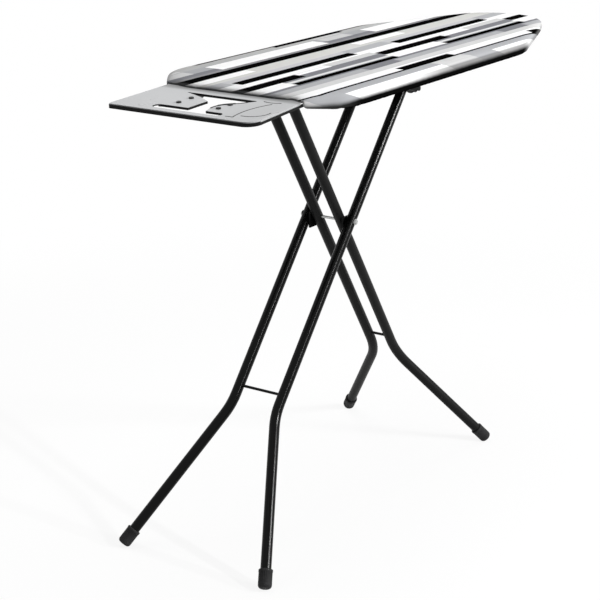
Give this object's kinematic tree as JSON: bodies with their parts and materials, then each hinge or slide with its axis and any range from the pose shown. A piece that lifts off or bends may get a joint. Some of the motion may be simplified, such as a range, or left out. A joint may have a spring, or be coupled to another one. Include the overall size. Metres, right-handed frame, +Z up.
{
  "type": "ironing board",
  "caption": "Free-standing ironing board: padded cloth-covered board with a slotted iron rest on two crossed pairs of bent tube legs, which fold flat.",
  "frame": {"origin": "on the floor under the middle of the overall length, on the board's centre line", "axes": "+X from the heel with its iron rest to the nose, +Y across the board, +Z up"},
  "size_m": [1.3909, 0.444, 0.951],
  "materials": {
    "deck_steel": "powder-coated perforated sheet",
    "rim_steel": "powder-coated dark grey",
    "pad_felt": "needled felt",
    "cover_cotton": "printed cotton with a woven grain",
    "draw_cord": "braided cotton cord",
    "black_steel": "satin black powder coat",
    "tube_black": "semi-gloss black powder coat",
    "zinc_steel": "bright zinc-plated steel",
    "spring_steel": "oiled spring wire",
    "rest_paint": "light grey satin paint",
    "rest_frame_black": "black satin paint",
    "stud_silicone": "soft matt silicone",
    "grip_plastic": "fine-grained moulded plastic",
    "cap_plastic": "ribbed moulded plastic",
    "plug_plastic": "moulded plastic",
    "washer_nylon": "natural nylon"
  },
  "bodies": {
    "board": {"deck": "deck_steel", "rim": "rim_steel", "pad": "pad_felt", "cover": "cover_cotton", "hem_cord": "draw_cord", "rail_heel": "rim_steel", "rail_mid": "rim_steel", "rail_nose": "rim_steel", "heel_bracket": "black_steel", "bracket_rivets": "zinc_steel", "hinge_rod": "zinc_steel", "hinge_nuts": "zinc_steel", "rack_near": "black_steel", "rack_far": "black_steel", "rack_rivets": "zinc_steel", "rest_plate": "rest_paint", "rest_frame": "rest_frame_black", "rest_studs": "stud_silicone", "rest_screws": "zinc_steel", "lever_pin": "zinc_steel", "lever_spring": "spring_steel"},
    "lever": {"lever_arm": "black_steel", "lever_grip": "grip_plastic"},
    "inner_legs": {"inner_tube_near": "tube_black", "inner_tube_far": "tube_black", "inner_plugs": "plug_plastic", "inner_crossbar": "tube_black", "inner_cap_near": "cap_plastic", "inner_cap_far": "cap_plastic", "pivot_axle": "zinc_steel", "pivot_spacers": "plug_plastic", "pivot_nuts": "zinc_steel"},
    "outer_legs": {"outer_tube_near": "tube_black", "outer_tube_far": "tube_black", "outer_plugs": "plug_plastic", "outer_crossbar": "tube_black", "outer_cap_near": "cap_plastic", "outer_cap_far": "cap_plastic", "slide_rod": "zinc_steel", "slide_washers": "washer_nylon", "slide_nuts": "zinc_steel"}
  },
  "joints": [
    {"name": "heel_fold", "type": "hinge", "parent": "board", "child": "inner_legs", "pos_m": [-0.36781, 0, 0.909], "axis": [0, -1, 0], "range_deg": [0, 54.4]},
    {"name": "leg_cross", "type": "hinge", "parent": "inner_legs", "child": "outer_legs", "pos_m": [-0.1695, 0, 0.615], "axis": [0, 1, 0], "range_deg": [0, 103.12]},
    {"name": "height_lever", "type": "hinge", "parent": "board", "child": "lever", "pos_m": [0.06745, -0.072, 0.866], "axis": [0, 1, 0], "range_deg": [0, 10], "stiffness_Nm_per_rad": 0.6, "springref_deg": -8.59}
  ],
  "couplings": [
    {"joint": "leg_cross", "follows": "heel_fold", "ratio": 1.8955}
  ]
}
